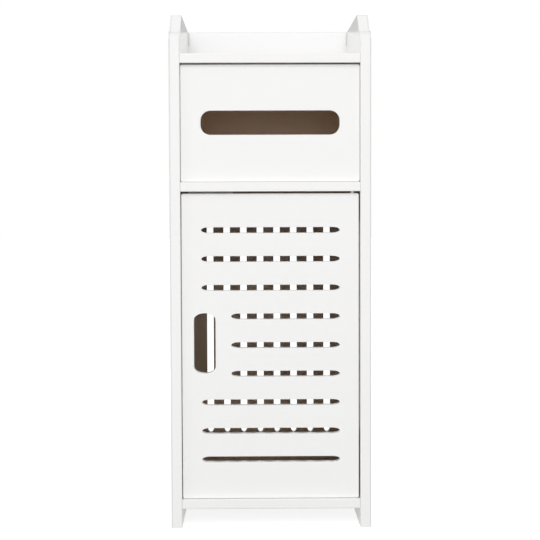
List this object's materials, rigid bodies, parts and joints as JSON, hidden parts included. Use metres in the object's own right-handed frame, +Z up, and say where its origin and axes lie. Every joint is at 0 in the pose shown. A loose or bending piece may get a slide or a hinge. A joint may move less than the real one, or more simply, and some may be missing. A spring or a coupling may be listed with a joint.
{
  "type": "toilet roll storage cabinet",
  "caption": "Narrow white floor cabinet with an open top tray, a pull-out roll box with a dispensing slot, and a slotted hinged door over a tall roll store.",
  "frame": {"origin": "middle of the footprint on the floor, under the two side panels", "axes": "+Z up, -Y towards the front with the door and the roll box, +X towards the hinge side of the door"},
  "size_m": [0.232, 0.24, 0.5975],
  "materials": {
    "body_board": "satin white foamed plastic board",
    "front_board": "satin white foamed plastic board",
    "box_board": "satin white foamed plastic board",
    "white_plastic": "moulded white nylon",
    "zinc_steel": "zinc plated steel",
    "ferrite": "dark ferrite magnet",
    "dowel_wood": "plain beech dowel"
  },
  "bodies": {
    "cabinet": {"side_panel_left": "body_board", "side_panel_right": "body_board", "back_panel": "body_board", "tray_board": "body_board", "mid_shelf": "body_board", "bottom_shelf": "body_board", "side_screws_left": "zinc_steel", "side_screws_right": "zinc_steel", "screw_caps_left": "white_plastic", "screw_caps_right": "white_plastic", "back_screws": "zinc_steel", "pivot_bush_upper": "white_plastic", "pivot_bush_lower": "white_plastic", "catch_housing": "white_plastic", "catch_magnet": "ferrite", "catch_pole_plates": "zinc_steel", "catch_screws": "zinc_steel"},
    "door": {"door_panel": "front_board", "door_pin_upper": "zinc_steel", "door_pin_lower": "zinc_steel", "strike_plate": "zinc_steel", "strike_screw": "zinc_steel"},
    "drawer": {"drawer_front": "front_board", "drawer_side_left": "box_board", "drawer_side_right": "box_board", "drawer_back": "box_board", "drawer_bottom": "box_board", "drawer_dowels": "dowel_wood", "drawer_screws": "zinc_steel", "drawer_floor_screws": "zinc_steel"}
  },
  "joints": [
    {"name": "door_hinge", "type": "hinge", "parent": "cabinet", "child": "door", "pos_m": [0.0949, -0.1095, 0.2104], "axis": [0, 0, 1], "range_deg": [0, 100]},
    {"name": "drawer_slide", "type": "slide", "parent": "cabinet", "child": "drawer", "axis": [0, -1, 0], "range_m": [0, 0.17]}
  ]
}
